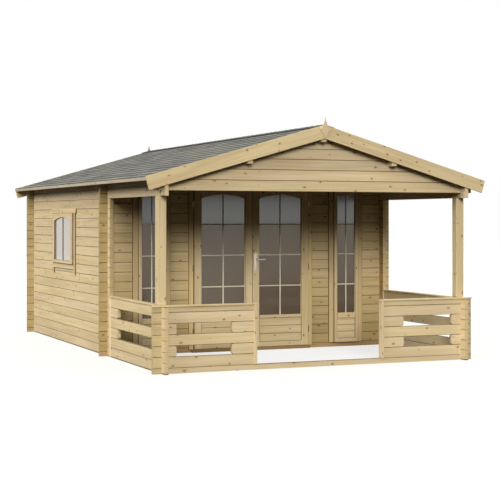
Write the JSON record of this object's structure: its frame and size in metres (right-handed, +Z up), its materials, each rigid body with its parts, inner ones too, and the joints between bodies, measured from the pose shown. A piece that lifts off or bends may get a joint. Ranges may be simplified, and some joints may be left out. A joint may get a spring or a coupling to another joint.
{
  "type": "log cabin",
  "caption": "Garden log cabin with a gabled veranda, low log fences, a glazed double door, tall front windows, arched side windows and a low pitched roof.",
  "frame": {"origin": "on the ground under the middle of the building, as its bounding box has it", "axes": "+X to the right of the door as seen from outside, +Y to the back of the cabin, +Z up"},
  "size_m": [4.24, 6.212, 2.8159],
  "materials": {
    "logs": "planed raw spruce with knots",
    "planed_boards": "planed raw spruce",
    "roof_boards": "planed raw spruce boards",
    "shingles": "bitumen shingles with grey mineral granules",
    "joinery": "planed raw spruce, fine",
    "glass": "clear float glass",
    "steel": "satin"
  },
  "bodies": {
    "cabin": {"corner_piers": "logs", "door_head": "joinery", "door_hinge_pins": "steel", "door_jambs": "joinery", "door_sill": "joinery", "eave_trims": "planed_boards", "fence_end_boards": "planed_boards", "finials": "planed_boards", "front_base_beam": "logs", "front_base_logs": "logs", "front_fence_caps": "planed_boards", "front_fences": "logs", "front_gable": "logs", "front_window_casings": "joinery", "front_window_glass": "glass", "front_window_sashes": "joinery", "left_barges": "planed_boards", "left_plate": "logs", "left_roof": "roof_boards", "left_roof_covering": "shingles", "left_wall": "logs", "middle_piers": "logs", "rear_wall": "logs", "ridge_purlin": "logs", "right_barges": "planed_boards", "right_plate": "logs", "right_roof": "roof_boards", "right_roof_covering": "shingles", "right_wall": "logs", "side_fence_caps": "planed_boards", "side_fences": "logs", "side_purlins": "logs", "side_window_casings": "joinery", "side_window_glass": "glass", "side_window_sashes": "joinery", "veranda_gable": "logs", "veranda_posts": "logs"},
    "left_leaf": {"left_door_leaf": "joinery", "left_door_glass": "glass", "left_leaf_hinges": "steel"},
    "right_leaf": {"right_door_leaf": "joinery", "right_door_glass": "glass", "right_leaf_hinges": "steel", "handle_plates": "steel"},
    "lever": {"door_lever": "steel"}
  },
  "joints": [
    {"name": "left_door_swing", "type": "hinge", "parent": "cabin", "child": "left_leaf", "pos_m": [-0.7975, -0.998, 1.0525], "axis": [0, 0, -1], "range_deg": [0, 110]},
    {"name": "right_door_swing", "type": "hinge", "parent": "cabin", "child": "right_leaf", "pos_m": [0.7975, -0.998, 1.0525], "axis": [0, 0, 1], "range_deg": [0, 110]},
    {"name": "lever_turn", "type": "hinge", "parent": "right_leaf", "child": "lever", "pos_m": [0.05, -0.99, 1.155], "axis": [0, 1, 0], "range_deg": [0, 40], "stiffness_Nm_per_rad": 1, "springref_deg": -57.3}
  ]
}
